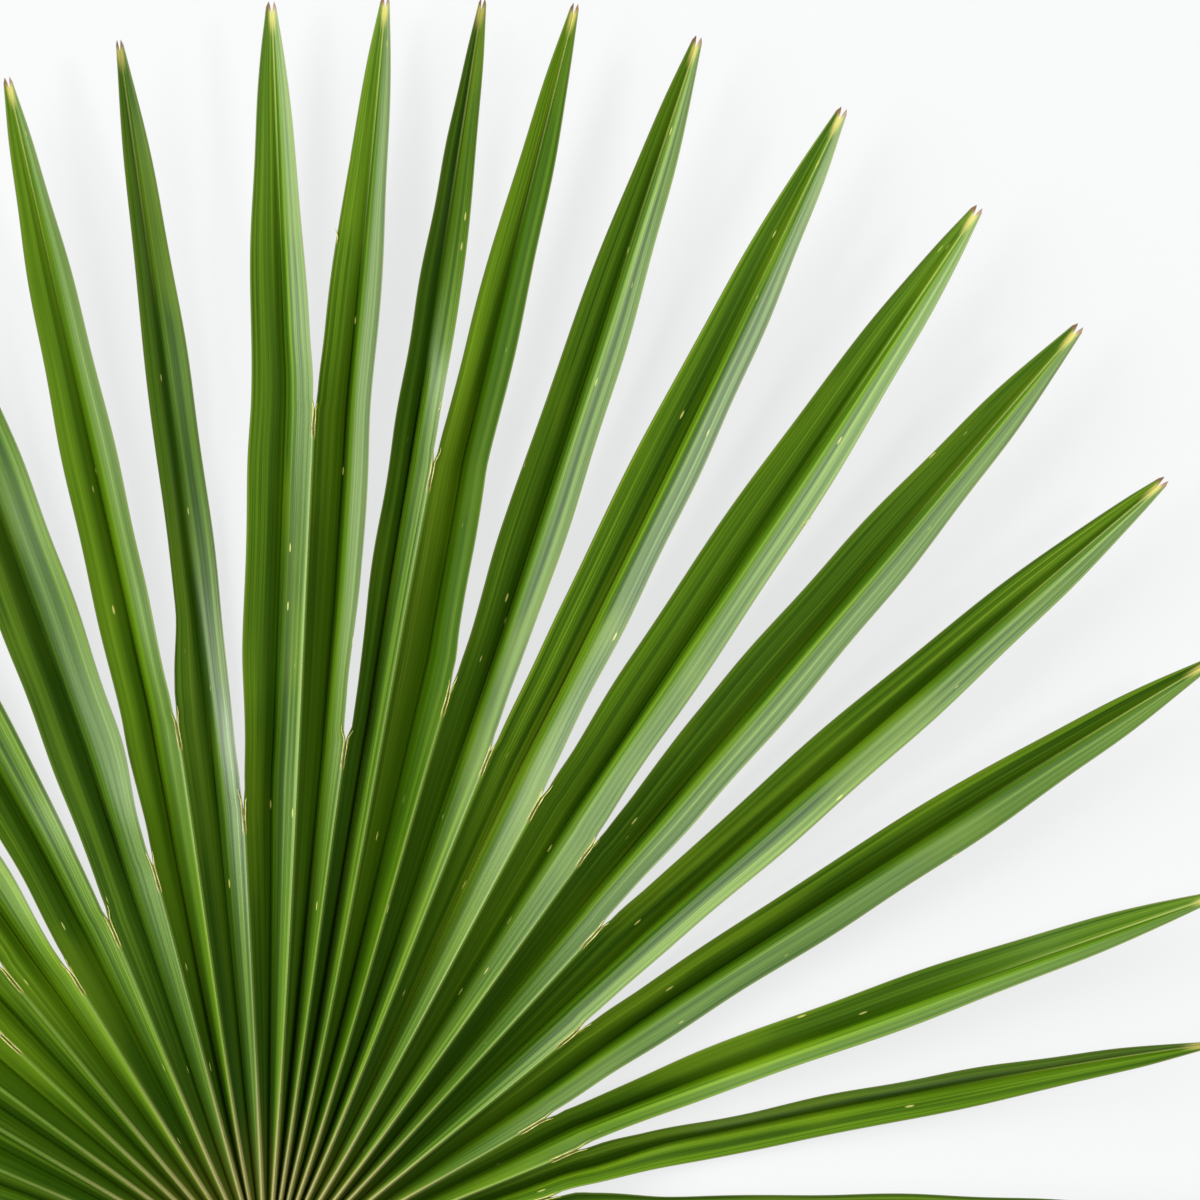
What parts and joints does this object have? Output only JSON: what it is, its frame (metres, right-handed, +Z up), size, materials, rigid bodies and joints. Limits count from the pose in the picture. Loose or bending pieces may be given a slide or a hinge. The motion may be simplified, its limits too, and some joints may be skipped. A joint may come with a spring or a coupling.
{
  "type": "fan palm leaf",
  "caption": "Cut fan palm leaf lying face up: a pleated fan of long V-folded pointed leaflets, joined near the hub and free outside, on a short cut stalk.",
  "frame": {"origin": "on the surface the leaf lies on, under the middle of the whole leaf", "axes": "+Y runs from the stalk to the middle leaflets, +X is to the right of the leaf seen from above, +Z is up, out of the leaf's upper face"},
  "size_m": [0.6766, 0.7318, 0.0307],
  "materials": {
    "leaf_blade": "fresh waxy leaf, satin",
    "leaf_stalk": "smooth green stalk, satin"
  },
  "bodies": {
    "root": {"leaflet_01": "leaf_blade", "leaflet_02": "leaf_blade", "leaflet_03": "leaf_blade", "leaflet_04": "leaf_blade", "leaflet_05": "leaf_blade", "leaflet_06": "leaf_blade", "leaflet_07": "leaf_blade", "leaflet_08": "leaf_blade", "leaflet_09": "leaf_blade", "leaflet_10": "leaf_blade", "leaflet_11": "leaf_blade", "leaflet_12": "leaf_blade", "leaflet_13": "leaf_blade", "leaflet_14": "leaf_blade", "leaflet_15": "leaf_blade", "leaflet_16": "leaf_blade", "leaflet_17": "leaf_blade", "leaflet_18": "leaf_blade", "leaflet_19": "leaf_blade", "leaflet_20": "leaf_blade", "leaflet_21": "leaf_blade", "leaflet_22": "leaf_blade", "leaflet_23": "leaf_blade", "leaflet_24": "leaf_blade", "leaflet_25": "leaf_blade", "leaflet_26": "leaf_blade", "leaflet_27": "leaf_blade", "leaflet_28": "leaf_blade", "leaflet_29": "leaf_blade", "leaflet_30": "leaf_blade", "leaflet_31": "leaf_blade", "leaflet_32": "leaf_blade", "leaflet_33": "leaf_blade", "leaflet_34": "leaf_blade", "leaflet_35": "leaf_blade", "leaflet_36": "leaf_blade", "stalk": "leaf_stalk"}
  },
  "joints": []
}
